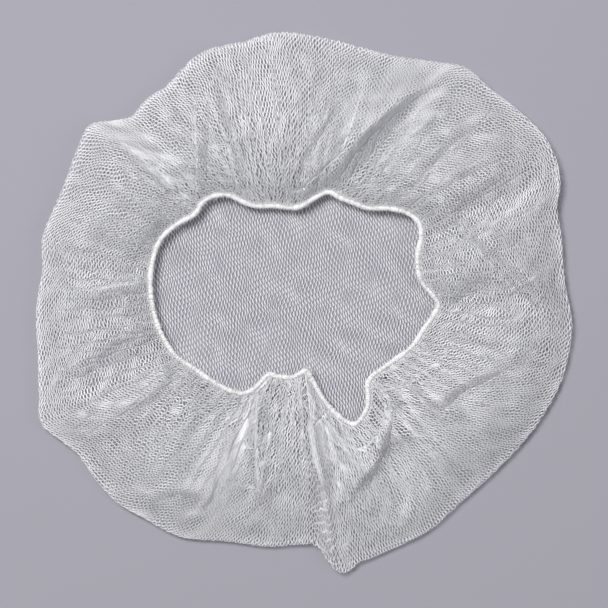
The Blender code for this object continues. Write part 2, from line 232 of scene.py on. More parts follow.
Fold = namedtuple("Fold", "angle_1 way_1 angle_2 way_2 angle_3 way_3 width rise lean")
FOLDS = [
    Fold(118, 0.05, 113.3, 0.50, 109.5, 1.00, 0.60, 0.50, 0.2),
    Fold(131, 0.08, 121, 0.50, 110, 1.00, 0.60, 0.45, 0.2),
    Fold(107.5, 0.00, 91, 0.47, 87, 0.90, 1.30, 0.50, 0.3),
    Fold(96, 0.02, 84.5, 0.40, 75, 0.68, 0.60, 0.40, 0.3),
    Fold(88, 0.00, 78.5, 0.26, 72.5, 0.50, 0.50, 0.40, 0.2),
    Fold(75.5, 0.00, 67.5, 0.47, 55, 1.00, 0.95, 1.00, 0.5),
    Fold(63.4, 0.08, 61.5, 0.35, 56.5, 0.75, 0.60, -0.50, 0.0),
    Fold(64, 0.10, 61, 0.20, 57, 0.32, 0.40, 0.30, 0.0),
    Fold(44.5, 0.05, 46.8, 0.55, 41.5, 1.00, 0.60, 0.45, 0.2),
    Fold(41.5, 0.02, 38, 0.45, 34, 0.85, 0.60, 0.45, 0.2),
    Fold(30, 0.00, 32.3, 0.35, 33, 0.70, 1.10, 0.75, 0.4),
    Fold(24, 0.15, 26, 0.55, 24, 0.92, 1.10, -0.65, 0.0),
    Fold(27, 0.27, 11, 0.60, -6.5, 1.00, 0.85, 0.90, 0.4),
    Fold(-5.5, 0.03, 2.5, 0.45, -9, 0.80, 0.80, -0.70, 0.0),
    Fold(4, 0.05, 10, 0.30, 14, 0.45, 1.30, 0.50, 0.0),
    Fold(-18, 0.05, -21, 0.20, -23.5, 0.35, 0.40, 0.35, 0.0),
    Fold(-31, 0.02, -34.5, 0.25, -37.5, 0.47, 0.90, 0.80, 0.4),
    Fold(-37.5, 0.47, -27, 0.42, -14, 0.66, 0.50, 0.55, 0.0),
    Fold(-45.5, 0.04, -44.5, 0.17, -52, 0.21, 0.60, 0.70, 0.0),
    Fold(-52, 0.21, -63, 0.30, -75.5, 0.62, 0.60, 0.80, -0.4),
    Fold(-54, 0.30, -59, 0.50, -66, 0.72, 1.50, -0.75, 0.0),
    Fold(-44, 0.60, -36, 0.75, -26, 0.80, 1.60, 0.30, 0.0),
    Fold(-81.5, 0.10, -83.2, 0.35, -80, 0.65, 0.50, 0.55, 0.0),
    Fold(-102, 0.03, -92, 0.38, -87, 0.72, 1.00, 0.55, 0.2),
    Fold(-113, 0.02, -105, 0.42, -97, 0.80, 0.50, 0.55, 0.2),
    Fold(-117, 0.10, -115, 0.32, -112, 0.58, 0.40, 0.35, 0.0),
    Fold(-138, 0.05, -134.5, 0.26, -128, 0.45, 0.90, 0.40, 0.0),
    Fold(-158, 0.03, -148, 0.25, -150, 0.62, 0.70, 0.60, -0.3),
    Fold(-125, 0.98, -123.5, 0.75, -114, 0.70, 0.35, 0.40, 0.0),
    Fold(174.5, 0.02, 175.5, 0.25, 180, 0.60, 0.50, 0.50, 0.0),
    Fold(188, 0.03, 193, 0.42, 200, 0.95, 0.60, 0.45, 0.0),
    Fold(201, 0.15, 202, 0.45, 203, 0.80, 1.00, -0.40, 0.0),
    Fold(169, 0.02, 166, 0.30, 163, 0.70, 0.80, -0.60, 0.0),
    Fold(155, 0.02, 148.5, 0.38, 139, 1.00, 1.20, 0.60, 0.2),
    Fold(143.5, 0.03, 140.8, 0.33, 139.6, 0.68, 0.35, 0.30, 0.0),
    Fold(133, 0.40, 131, 0.65, 129, 0.90, 1.00, -0.40, 0.0),
]


def around(rows, column, angles):
    """The column's value at each angle, on a smooth closed curve through the rows."""
    ordered = sorted(rows, key=lambda row: row.angle % 360)
    at = np.array([row.angle % 360 for row in ordered])
    value = np.array([getattr(row, column) for row in ordered])
    at = np.concatenate([at[-2:] - 360, at, at[:2] + 360])
    value = np.concatenate([value[-2:], value, value[:2]])
    step = np.diff(at)
    slope = np.diff(value) / step
    bend = np.zeros(len(at))
    bend[1:-1] = (slope[:-1] * step[1:] + slope[1:] * step[:-1]) / (step[:-1] + step[1:])
    angles = np.asarray(angles) % 360
    row = np.clip(np.searchsorted(at, angles, side="right") - 1, 1, len(at) - 3)
    t = (angles - at[row]) / step[row]
    return (
        value[row] * (1 + 2 * t) * (1 - t) ** 2
        + bend[row] * step[row] * t * (1 - t) ** 2
        + value[row + 1] * t**2 * (3 - 2 * t)
        + bend[row + 1] * step[row] * t**2 * (t - 1)
    )


def smooth(t):
    t = np.clip(t, 0, 1)
    return t * t * (3 - 2 * t)


def direction(angles):
    radians = np.radians(angles)
    return np.stack([np.cos(radians), np.sin(radians)], axis=-1)


def unit(vectors):
    return vectors / (np.linalg.norm(vectors, axis=-1, keepdims=True) + TINY)


def random_waves(points, wavelength, seed, count=24):
    """A smooth random field of unit size over the plane, in ripples of about one wavelength."""
    rng = np.random.default_rng(seed)
    heading = rng.uniform(0, math.tau, count)
    length = wavelength * rng.uniform(0.7, 1.4, count)
    waves = np.stack([np.cos(heading), np.sin(heading)]) * math.tau / length
    phase = rng.uniform(0, math.tau, count)
    return np.cos(points @ waves + phase).sum(axis=-1) * math.sqrt(2 / count)


def plan(angles, way):
    """Places in plan on the gathered layer, from way 0 at the elastic to way 1 at the rim."""
    inner = BAND_REACH * around(BAND, "reach", angles)
    outer = RIM_REACH * around(RIM, "reach", angles)
    return direction(angles) * (inner + (outer - inner) * way)[..., None]


def fold_path(fold):
    """The fold's line in plan, a curve through its three places."""
    t = np.linspace(0, 1, PATH_STEPS + 1)
    first = (1 - t) * (1 - 2 * t)
    middle = 4 * t * (1 - t)
    last = t * (2 * t - 1)
    angles = first * fold.angle_1 + middle * fold.angle_2 + last * fold.angle_3
    way = first * fold.way_1 + middle * fold.way_2 + last * fold.way_3
    return plan(angles, way)


def fold_place(fold, points):
    """Each point's distance from the fold's line, its side of it, and its share of the run."""
    path = fold_path(fold)
    start = path[:-1]
    along = path[1:] - start
    length = np.linalg.norm(along, axis=1)
    offset = points[..., None, :] - start
    share = np.clip((offset * along).sum(axis=-1) / length**2, 0, 1)
    gap = offset - share[..., None] * along
    distance = np.linalg.norm(gap, axis=-1)
    nearest = distance.argmin(axis=-1)[..., None]
    side = (along[:, 0] * gap[..., 1] - along[:, 1] * gap[..., 0]) / (length * (distance + TINY))
    distance = np.take_along_axis(distance, nearest, -1)[..., 0]
    side = np.take_along_axis(side, nearest, -1)[..., 0]
    share = np.take_along_axis(share, nearest, -1)[..., 0]
    return distance, side, (nearest[..., 0] + share) / PATH_STEPS


def fold_height(fold, points):
    """How far one fold lifts each point, and how much of a tuck runs down its steep side."""
    distance, side, run = fold_place(fold, points)
    width = FOLD_WIDTH * fold.width * (1 + fold.lean * side)
    ends = (0.3 + 0.7 * smooth(run / 0.25)) * (0.3 + 0.7 * smooth((1 - run) / 0.3))
    height = FOLD_RISE * fold.rise * ends * np.exp(-((distance / width) ** 2))
    steep = -1 if fold.lean >= 0 else 1
    beside = FOLD_WIDTH * fold.width * (1 - abs(fold.lean)) * 1.15
    off = distance * side * steep - beside
    fades = smooth(run / 0.15) * smooth((1 - run) / 0.35)
    tuck = abs(fold.rise) * fades * np.exp(-((off / TUCK_WIDTH / 1.3) ** 2))
    return height, tuck


def rim_reach(angles):
    return RIM_REACH * around(RIM, "reach", angles)


def rim_lift(angles):
    return RIM_LIFT * around(RIM, "lift", angles)


def band_line(angles):
    """The elastic's centre line, and the level direction square to it that points outwards."""
    centre = plan(angles, np.zeros(len(angles)))
    along = unit(np.roll(centre, -1, axis=0) - np.roll(centre, 1, axis=0))
    outwards = np.stack([along[:, 1], -along[:, 0]], axis=1)
    height = BAND_LIFT * around(BAND, "lift", angles)
    return np.column_stack([centre, height]), outwards


def plan_middle():
    """Where the middle of the CAD model's box lies, measured from the middle of the opening."""
    angles = np.linspace(0, 360, GRID_ANGLES)
    rim = direction(angles) * rim_reach(angles)[:, None]
    return (rim.min(axis=0) + rim.max(axis=0)) / 2


def pleats_at(edge, distance):
    """Small gathers running out from the elastic, by edge position and distance."""
    rng = np.random.default_rng(11)
    travel = np.linalg.norm(np.roll(edge, -1, axis=0) - edge, axis=1)
    position = np.concatenate([[0], np.cumsum(travel)[:-1]])
    whole = travel.sum()
    spacing = rng.uniform(0.55, 1.45, PLEATS)
    centres = np.cumsum(spacing) / spacing.sum() * whole
    sizes = rng.uniform(0.4, 1.35, PLEATS)
    reaches = PLEAT_REACH * rng.uniform(0.4, 2.0, PLEATS)
    skews = rng.normal(0, 0.12, PLEATS)
    ridges = np.zeros(distance.shape)
    for centre, size, reach, skew in zip(centres, sizes, reaches, skews):
        off = position[:, None] - centre - skew * distance
        off = (off + whole / 2) % whole - whole / 2
        width = PLEAT_WIDTH * (0.75 + 0.25 * size) * (1 + distance / 0.04)
        ridge = size * np.exp(-((off / width) ** 2)) * np.exp(-((distance / reach) ** 1.5))
        ridges = np.maximum(ridges, ridge) + 0.3 * np.minimum(ridges, ridge)
    return ridges * (1 - np.exp(-distance / HELD_AT_BAND))


def small_creases():
    """Faint creases all over the gathered layer, most of them running from elastic to rim."""
    rng = np.random.default_rng(17)
    creases = []
    for angle in rng.permutation(np.linspace(0, 360, CREASES, endpoint=False)):
        start = rng.uniform(0.0, 0.65)
        run = rng.uniform(0.2, 0.5)
        lean = rng.normal(0, 7)
        bow = rng.normal(0, 1.5)
        width = rng.uniform(0.13, 0.30)
        creases.append(Fold(
            angle, start, angle + lean / 2 + bow, start + run / 2, angle + lean, min(start + run, 1),
            width, width * rng.uniform(0.3, 0.8), 0.0))
    return creases


def nearby(values):
    """The values averaged round the first axis, over a few degrees."""
    turns = np.fft.rfftfreq(len(values), 1 / len(values))
    keep = np.exp(-0.5 * (turns * math.radians(AVERAGED)) ** 2)
    return np.fft.irfft(np.fft.rfft(values, axis=0) * keep[:, None], len(values), axis=0)


def ribbon_height(ribbon, points):
    """How far a narrow ribbon of folded net lifts the layer, and where its fabric is tucked."""
    turns = np.array(ribbon.places) * MILLIMETRE
    nearest = np.full(points.shape[:-1], 1.0)
    for start, end in zip(turns[:-1], turns[1:]):
        run = end - start
        along = np.clip((points - start) @ run / (run @ run), 0, 1)
        gap = points - start - along[..., None] * run
        nearest = np.minimum(nearest, np.linalg.norm(gap, axis=-1))
    lift = ribbon.rise * np.exp(-(nearest / ribbon.width) ** 2)
    tuck = ribbon.tucked * np.exp(-(nearest / (0.7 * ribbon.width)) ** 2)
    return lift, tuck


def hidden_pleats(step):
    """How deep the hidden pleats hang at each place of the grid, as a share."""
    rng = np.random.default_rng(51)
    share = np.linspace(0, 1, GRID_WAYS)
    hidden = np.zeros(step.shape)
    places = (np.arange(HIDDEN_PLEATS) + rng.uniform(-0.35, 0.35, HIDDEN_PLEATS)) / HIDDEN_PLEATS
    sizes = rng.uniform(0.6, 1.4, HIDDEN_PLEATS)
    spacing = step.mean(axis=0)
    width = np.maximum(PLEAT_SLOT / spacing, LEAST_SLOT)
    for place, size in zip(places, sizes):
        phase = rng.uniform(0, math.tau, len(SWAY_RATES))
        waves = sum(np.sin(share * rate + turn) for rate, turn in zip(SWAY_RATES, phase))
        centre = place * GRID_ANGLES + waves * PLEAT_SWAY / spacing
        near = np.arange(int(centre.min()) - PLEAT_MARGIN, int(centre.max()) + PLEAT_MARGIN + 1)
        off = np.abs(near[:, None] - centre)
        rows = near % GRID_ANGLES
        hidden[rows] = np.maximum(hidden[rows], size * np.clip(1 - off / (2 * width), 0, 1))
    return hidden


def folds_and_tucks(angles, level):
    """How far the folds, creases and ribbons lift each place, and where fabric is tucked."""
    folds = np.zeros(level.shape[:2])
    tucks = np.zeros(level.shape[:2])
    for fold in FOLDS + small_creases():
        reach = math.degrees(3 * FOLD_WIDTH * fold.width * (1 + abs(fold.lean)) / BAND_REACH)
        turns = np.array([fold.angle_1, fold.angle_2, fold.angle_3])
        off = (angles - (turns.min() + turns.max()) / 2 + 180) % 360 - 180
        near = np.abs(off) < np.ptp(turns) / 2 + reach + 2
        lift, tuck = fold_height(fold, level[near])
        folds[near] += lift
        tucks[near] += tuck
    for ribbon in RIBBONS:
        lift, tuck = ribbon_height(ribbon, level)
        folds += lift
        tucks += tuck
    return folds, tucks


def even_steps(places, tucks):
    """The places, with the tucks, in even steps from rim to elastic, and the length at each angle."""
    step = np.linalg.norm(np.diff(places, axis=1), axis=2)
    run = np.concatenate([np.zeros((GRID_ANGLES, 1)), np.cumsum(step, axis=1)], axis=1)
    length = run[:, -1]
    layers = np.dstack([places, tucks])
    even = np.empty_like(layers)
    share = np.linspace(0, 1, GRID_WAYS)
    for i in range(GRID_ANGLES):
        for k in range(4):
            even[i, :, k] = np.interp(share * length[i], run[i], layers[i, :, k])
    return even, length


def round_step(even):
    """The distance from each place of the grid to the next one round the same level."""
    return np.linalg.norm(np.roll(even[..., :3], -1, axis=0) - even[..., :3], axis=2)


def hang_pleats(even, flat_step):
    """Lowers the grid at the hidden pleats, as deep as the spare fabric asks for."""
    step = round_step(even)
    gap = even[:, -1:, :2] - even[..., :2]
    free = 1 - np.exp(-np.linalg.norm(gap, axis=2) / HELD_AT_BAND)
    spare = np.clip(nearby(flat_step - step), 0, None) * GRID_ANGLES / HIDDEN_PLEATS / PLEAT_WALLS
    depth = np.minimum(spare * free * hidden_pleats(step), even[..., 2] - LEAST_UNDER)
    even[..., 2] -= np.clip(depth, 0, None)


def spread_round(even, flat_step, angles):
    """The grid over the flat cut, with the fabric spread round each level by its length."""
    step = round_step(even)
    step *= 1 + MOST_TUCKED * even[..., 3]
    step *= nearby(flat_step) / nearby(step)
    around_cut = np.cumsum(step, axis=0) - step
    around_cut *= 360 / step.sum(axis=0)
    around_cut -= (around_cut - angles[:, None]).mean(axis=0)
    loosen = smooth(np.linspace(0, 1, GRID_WAYS) / 0.4)
    around_cut = angles[:, None] + (around_cut - angles[:, None]) * loosen
    spread = np.empty((GRID_ANGLES, GRID_WAYS, 3))
    for j in range(GRID_WAYS):
        cut = around_cut[:, j]
        cut = np.concatenate([cut[-WRAP:] - 360, cut, cut[:WRAP] + 360])
        for k in range(3):
            value = even[:, j, k]
            value = np.concatenate([value[-WRAP:], value, value[:WRAP]])
            spread[:, j, k] = np.interp(angles, cut, value)
    return spread


def gathered_layer():
    """The gathered layer as a grid of places over the flat cut, and its length at each angle.

    The first axis is the angle on the flat cut, the second the share of the way from rim to
    elastic. Fabric that a level has no room for hangs below it in the hidden pleats.
    """
    angles = np.arange(GRID_ANGLES) * 360 / GRID_ANGLES
    centre, square = band_line(angles)
    edge = centre[:, :2] + square * (BAND_DIAMETER / 2 + SEAM_GAP)
    shoulder = direction(angles) * (rim_reach(angles) - EDGE_TURN)[:, None]
    way = np.linspace(1, 0, GRID_WAYS)
    level = edge[:, None] + (shoulder - edge)[:, None] * way[:, None]
    distance = np.linalg.norm(level - edge[:, None], axis=2)

    at_band = (centre[:, 2] + NET_WALL / 2)[:, None]
    at_rim = (rim_lift(angles) + 2 * RIM_TURN)[:, None]
    bulge = PUFF_RISE * np.sin(math.pi * way) ** (CREST_GROWTH + 0.6 * smooth(way))
    hold = smooth(way / 0.14) * (0.25 + 0.75 * smooth((1 - way) / 0.3))
    pleats = pleats_at(edge, distance)
    folds, tucks = folds_and_tucks(angles, level)
    ripples = RIPPLE_RISE * random_waves(level, RIPPLE_LENGTH, 5) * np.sin(math.pi * way)
    height = at_band + (at_rim - at_band) * smooth(way) + bulge + hold * folds + ripples
    height += PLEAT_RISE * (pleats - 0.35 * np.exp(-distance / PLEAT_REACH))
    height -= TUCK_DEPTH * np.clip(tucks, 0, 1.2) * hold * (1 - np.exp(-distance / TUCK_FADE))
    from_rim = np.linalg.norm(level - shoulder[:, None], axis=2)
    height -= (RIM_TURN - EDGE_TURN) * (1 - smooth(from_rim / EDGE_FALL))
    height -= NET_WALL / 2 * smooth(from_rim / EDGE_FALL)

    even, length = even_steps(np.dstack([level, height]), tucks)
    share = np.linspace(0, 1, GRID_WAYS)
    rim = rim_reach(angles)[:, None]
    flat_step = (rim + share * (CUT_REACH - rim)) * math.tau / GRID_ANGLES
    hang_pleats(even, flat_step)
    return spread_round(even, flat_step, angles), length


def settle_cut(length):
    """Radius of the flat cut at each angle: between an unstretched cut and a round one."""
    angles = np.arange(GRID_ANGLES) * 360 / GRID_ANGLES
    window = np.hanning(CUT_WINDOW)
    window /= window.sum()
    half = CUT_WINDOW // 2
    padded = np.concatenate([length[-half:], length, length[:half]])
    length = np.convolve(padded, window, mode="valid")
    inner = rim_reach(angles) - EDGE_TURN + math.pi * EDGE_TURN
    return (1 - CUT_EVENNESS) * (inner + length) + CUT_EVENNESS * CUT_REACH


def lookup(grid, row, column):
    """Values of the grid between its rows and columns. Rows go round, columns are limited."""
    low_row = np.floor(row).astype(int)
    part = (row - low_row)[:, None]
    column = np.clip(column, 0, grid.shape[1] - 1 - TINY)
    low_column = np.floor(column).astype(int)
    share = (column - low_column)[:, None]
    low_row %= grid.shape[0]
    high_row = (low_row + 1) % grid.shape[0]
    low = grid[low_row, low_column] * (1 - share) + grid[low_row, low_column + 1] * share
    high = grid[high_row, low_column] * (1 - share) + grid[high_row, low_column + 1] * share
    return low * (1 - part) + high * part


def crown_height(points, angle, share):
    """Height of the crown layer: flat, with faint waves, and rising a little to the rim."""
    rise = rim_lift(angle) * smooth((share - FLAT_SHARE) / (1 - FLAT_SHARE))
    rise += (RIM_TURN - EDGE_TURN) * smooth(1 - (1 - share) * RIM_REACH / EDGE_FALL)
    rise += ribbon_height(CROWN_FOLD, points)[0]
    waves = CROWN_WAVES + CROWN_RIPPLE * random_waves(points, CROWN_WAVELENGTH, 3)
    return CROWN_BASE + rise + np.clip(waves, 0, None)


class Cloth:
    """Carries points of the flat cut to their places on the laid-out cap."""

    def __init__(self):
        self.grid, length = gathered_layer()
        self.cut = settle_cut(length)
        self.middle = plan_middle()
        along = np.roll(self.grid, -1, axis=0) - np.roll(self.grid, 1, axis=0)
        down = np.gradient(self.grid, axis=1)
        self.facing = unit(np.cross(down, along))

    def cut_reach(self, angle):
        row = angle / 360 * GRID_ANGLES
        low = np.floor(row).astype(int)
        part = row - low
        return self.cut[low % GRID_ANGLES] * (1 - part) + self.cut[(low + 1) % GRID_ANGLES] * part

    def place(self, points):
        """Places and facings of the flat points, with the share of the way to the elastic."""
        radius = np.linalg.norm(points, axis=1)
        angle = np.degrees(np.arctan2(points[:, 1], points[:, 0])) % 360
        outwards = direction(angle)
        flat_end = rim_reach(angle) - EDGE_TURN
        turn_end = flat_end + math.pi * EDGE_TURN
        share = radius / flat_end
        places = np.column_stack([points, crown_height(points, angle, share)])
        facing = np.zeros_like(places)
        facing[:, 2] = 1

        bend = np.clip((radius - flat_end) / EDGE_TURN, 0, math.pi) - math.pi / 2
        on_turn = radius > flat_end
        out = flat_end + EDGE_TURN * np.cos(bend)
        up = rim_lift(angle) + RIM_TURN + EDGE_TURN * np.sin(bend)
        turned = np.column_stack([outwards * out[:, None], up])
        places[on_turn] = turned[on_turn]
        square = np.column_stack([outwards * np.cos(bend)[:, None], np.sin(bend)])
        facing[on_turn] = square[on_turn]

        way = (radius - turn_end) / (self.cut_reach(angle) - turn_end)
        gathered = way > 0
        row = angle / 360 * GRID_ANGLES
        column = way * (GRID_WAYS - 1)
        places[gathered] = lookup(self.grid, row[gathered], column[gathered])
        facing[gathered] = unit(lookup(self.facing, row[gathered], column[gathered]))
        places[:, :2] -= self.middle
        return places, facing, way


def across_column():
    """The direction square to the knitted columns on the flat fabric."""
    return unit(np.array([REPEAT[1], -REPEAT[0]]))


def knots():
    """The two knots of every cell on the flat fabric, by column, row and kind."""
    reach = CUT_REACH * 1.2
    columns = int(reach / COUNTED_COLUMN)
    rows = int(reach / COUNTED_REPEAT) + int(columns * COLUMN_SLANT)
    i, j = np.meshgrid(np.arange(-columns, columns + 1), np.arange(-rows, rows + 1), indexing="ij")
    cell = i[..., None] * COLUMN + j[..., None] * REPEAT
    across = across_column()
    left = cell - LINK_PLACE * REPEAT - ZIGZAG * across
    right = cell + LINK_PLACE * REPEAT + ZIGZAG * across
    points = np.stack([left, right], axis=2)
    flat = points.reshape(-1, 2)
    drift_x = KNOT_DRIFT * random_waves(flat, DRIFT_LENGTH, 21)
    drift_y = KNOT_DRIFT * random_waves(flat, DRIFT_LENGTH, 22)
    rng = np.random.default_rng(23)
    jitter = rng.normal(0, KNOT_JITTER, flat.shape)
    moved = flat + np.column_stack([drift_x, drift_y]) + jitter
    return moved.reshape(points.shape)


def mesh_object(name, vertices, quads, material, rounded=True):
    """A mesh piece from arrays of vertices and four-sided faces."""
    mesh = bpy.data.meshes.new(name)
    mesh.vertices.add(len(vertices))
    mesh.vertices.foreach_set("co", np.ascontiguousarray(vertices, np.float32).ravel())
    mesh.loops.add(quads.size)
    mesh.loops.foreach_set("vertex_index", np.ascontiguousarray(quads, np.int32).ravel())
    mesh.polygons.add(len(quads))
    mesh.polygons.foreach_set("loop_start", np.arange(len(quads), dtype=np.int32) * 4)
    mesh.polygons.foreach_set("loop_total", np.full(len(quads), 4, np.int32))
    mesh.update(calc_edges=True)
    mesh.validate()
    if not rounded:
        mesh.shade_flat()
    piece = bpy.data.objects.new(name, mesh)
    bpy.context.scene.collection.objects.link(piece)
    mesh.materials.append(material)
    return piece


def strands(starts, ends, start_facing, end_facing, width, rise):
    """Flat three-sided strands between pairs of points, as vertices and faces."""
    along = unit(ends - starts)
    past = along * STRAND_OVERLAP
    half = (width / 2)[:, None]
    corners = []
    for place, facing in ((starts - past, start_facing), (ends + past, end_facing)):
        side = unit(np.cross(along, facing))
        top = np.cross(side, along)
        corners.append(place - side * half - top * (rise / 3))
        corners.append(place + side * half - top * (rise / 3))
        corners.append(place + top * (2 * rise / 3))
    vertices = np.stack(corners, axis=1).reshape(-1, 3)
    faces = np.array([[3, 4, 1, 0], [4, 5, 2, 1], [5, 3, 0, 2]])
    quads = (np.arange(len(starts))[:, None, None] * 6 + faces).reshape(-1, 4)
    return vertices, quads


def tube(path, radius, sides, closed=False):
    """A round tube along a path, with one radius or one at each point."""
    if closed:
        along = unit(np.roll(path, -1, axis=0) - np.roll(path, 1, axis=0))
    else:
        along = unit(np.gradient(path, axis=0))
    up = np.array([0.0, 0.0, 1.0])
    side = unit(np.cross(along, up) + TINY)
    top = np.cross(side, along)
    turn = np.arange(sides) * math.tau / sides
    radius = np.broadcast_to(radius, len(path))
    ring = side[:, None] * np.cos(turn)[:, None] + top[:, None] * np.sin(turn)[:, None]
    vertices = path[:, None] + ring * radius[:, None, None]
    count = len(path)
    k = np.arange(count if closed else count - 1)
    m = np.arange(sides)
    a = k[:, None] * sides + m
    b = k[:, None] * sides + (m + 1) % sides
    c = ((k + 1) % count)[:, None] * sides + (m + 1) % sides
    d = ((k + 1) % count)[:, None] * sides + m
    quads = np.stack([a, b, c, d], axis=2).reshape(-1, 4)
    return vertices.reshape(-1, 3), quads


def joined(parts):
    """Several sets of vertices and faces as one."""
    vertices = np.concatenate([part[0] for part in parts])
    offset = np.cumsum([0] + [len(part[0]) for part in parts[:-1]])
    quads = np.concatenate([part[1] + start for part, start in zip(parts, offset)])
    return vertices, quads


def link_openness(places, inside, left, right):
    """How open the net is at each knot: one at its flat spacing, and less where it's packed.

    Strands are drawn narrower by this, so that the slits stay open. It is for the look: real
    yarn keeps its width.
    """
    a, b = right[:-1].ravel(), left[1:].ravel()
    nominal = np.linalg.norm(COLUMN - 2 * LINK_PLACE * REPEAT - 2 * ZIGZAG * across_column())
    length = np.linalg.norm(places[a] - places[b], axis=1) / nominal
    length[~(inside[a] & inside[b])] = 1
    openness = np.ones(len(places))
    openness[a] = np.clip(length, FINEST, 1)
    openness[b] = openness[a]
    return openness


def make_net(cloth, material):
    """All the strands of the net, in five pieces."""
    points = knots()
    flat = points.reshape(-1, 2)
    radius = np.linalg.norm(flat, axis=1)
    angle = np.degrees(np.arctan2(flat[:, 1], flat[:, 0])) % 360
    inside = radius < cloth.cut_reach(angle) + CUT_MARGIN
    places = np.zeros((len(flat), 3))
    facing = np.zeros((len(flat), 3))
    way = np.full(len(flat), OFF_THE_CUT)
    places[inside], facing[inside], way[inside] = cloth.place(flat[inside])
    index = np.arange(len(flat)).reshape(points.shape[:3])

    left, right = index[..., 0], index[..., 1]
    pairs = [
        (left.ravel(), right.ravel(), RETURN_WIDTH),
        (right[:, :-1].ravel(), left[:, 1:].ravel(), CHAIN_WIDTH),
        (right[:-1].ravel(), left[1:].ravel(), LINK_WIDTH),
    ]
    start = np.concatenate([pair[0] for pair in pairs])
    end = np.concatenate([pair[1] for pair in pairs])
    width = np.concatenate([np.full(len(pair[0]), pair[2]) for pair in pairs])
    kept = inside[start] & inside[end]
    start, end, width = start[kept], end[kept], width[kept]

    openness = link_openness(places, inside, left, right)
    on_crown = way[start] <= 0
    chain = width == CHAIN_WIDTH
    width[(way[start] > GATHERED_FROM) & chain] = GATHERED_WIDTH
    width *= (openness[start] + openness[end]) / 2
    middle_angle = angle[start]
    parts = {
        "net_crown_left": on_crown & (flat[start, 0] < 0),
        "net_crown_right": on_crown & (flat[start, 0] >= 0),
        "net_gathered_top": ~on_crown & (middle_angle >= 30) & (middle_angle < 150),
        "net_gathered_left": ~on_crown & (middle_angle >= 150) & (middle_angle < 270),
        "net_gathered_right": ~on_crown & ((middle_angle < 30) | (middle_angle >= 270)),
    }
    for name, chosen in parts.items():
        s, e = start[chosen], end[chosen]
        vertices, quads = strands(
            places[s], places[e], facing[s], facing[e], width[chosen],
            CROWN_STRAND_RISE if "crown" in name else STRAND_RISE)
        piece = mesh_object(name, vertices, quads, material, rounded=False)
        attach(piece, "root")
        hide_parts("net_body")


def even_band(step):
    """The elastic's centre line in even steps, and its length."""
    fine = np.linspace(0, 360, BAND_PLACES, endpoint=False)
    line, _ = band_line(fine)
    closed_line = np.vstack([line, line[:1]])
    run = np.concatenate([[0], np.cumsum(np.linalg.norm(np.diff(closed_line, axis=0), axis=1))])
    count = int(run[-1] / step)
    at = np.linspace(0, run[-1], count, endpoint=False)
    return np.column_stack([np.interp(at, run, closed_line[:, k]) for k in range(3)]), run[-1]


def edge_stitches(fine, side, top, at, length):
    """The overlock's zigzag of thread from the elastic out into the net."""
    level = fine[:, :2]
    phase = at * round(length / STITCH_PITCH) + 0.15 * random_waves(level, 0.004, 36)
    stitch = np.abs(phase % 1 * 2 - 1)
    out = STITCH_START + STITCH_REACH * stitch * (1 + 0.2 * random_waves(level, 0.003, 37))
    rise = np.sqrt(np.clip(STITCH_OVER ** 2 - out ** 2, STITCH_LOWEST ** 2, None))
    path = fine + side * out[:, None] + top * rise[:, None]
    return tube(path, STITCH_RADIUS, 3, closed=True)


def make_lint(fine, along, side, top):
    """Short hairs all along the elastic, and the tuft at its frayed end."""
    rng = np.random.default_rng(31)
    lint = []
    for place in rng.integers(0, len(fine), LINT_HAIRS):
        turn = rng.uniform(-0.35, 1.35) * math.pi
        out = side[place] * math.cos(turn) + top[place] * math.sin(turn)
        way = unit(out + along[place] * rng.normal(0, 1.3))
        curl = unit(np.cross(out, along[place]) * rng.normal() + out * rng.normal(-0.5, 0.6))
        size = rng.uniform(0.0007, 0.0019)
        reach = HAIR_PLACES * size
        hair = fine[place] + LINT_START * out + way * reach + curl * reach ** 2 / size * 0.7
        lint.append(tube(hair, rng.uniform(0.00004, 0.00007), 3))
    tip = np.argmin(np.linalg.norm(fine[:, :2] - FRAYED_END, axis=1))
    for _ in range(FRAYED_HAIRS):
        way = unit(np.array([rng.normal(0.35, 0.5), rng.normal(0.9, 0.4), rng.uniform(0, 0.5)]))
        start = fine[(tip + rng.integers(-12, 12)) % len(fine)] + np.array([0, 0, 0.0006])
        reach = HAIR_PLACES * rng.uniform(0.0012, 0.0030)
        curl = np.array([rng.normal(0, 0.3), rng.normal(0, 0.3), 0]) * reach ** 2 * 160
        lint.append(tube(start + way * reach + curl, FRAYED_RADIUS, 3))
    return joined(lint)


def make_band(cloth, core_look, thread_look):
    """The elastic: a core, the overlock threads wound round it, its stitches and its fuzz."""
    path, _ = even_band(CORE_STEP)
    path[:, :2] -= cloth.middle
    level = path[:, :2]
    uneven = 1 + 0.09 * random_waves(level, 0.0035, 32) + 0.08 * random_waves(level, 0.012, 35)
    core_parts = tube(path, CORE_RADIUS * uneven, 10, closed=True)
    core = mesh_object("elastic_core", *core_parts, core_look)

    fine, length = even_band(THREAD_STEP)
    fine[:, :2] -= cloth.middle
    along = unit(np.roll(fine, -1, axis=0) - np.roll(fine, 1, axis=0))
    side = unit(np.cross(along, np.array([0.0, 0.0, 1.0])))
    top = np.cross(side, along)
    at = np.arange(len(fine)) / len(fine)
    threads = []
    for winding in WINDINGS:
        turns = round(length / winding.pitch)
        turn = winding.way_round * math.tau * turns * at
        turn = turn + 0.5 * random_waves(fine[:, :2], 0.006, 33)
        swell = winding.reach * (1 + 0.10 * random_waves(fine[:, :2], 0.003, 34))
        ring = side * np.cos(turn)[:, None] + top * np.sin(turn)[:, None]
        threads.append(tube(fine + ring * swell[:, None], winding.radius, 3, closed=True))
    threads.append(edge_stitches(fine, side, top, at, length))
    overlock = mesh_object("overlock_threads", *joined(threads), thread_look)
    fuzz = mesh_object("elastic_fuzz", *make_lint(fine, along, side, top), thread_look)
    for piece in (core, overlock, fuzz):
        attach(piece, "root")
        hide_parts("elastic_band")


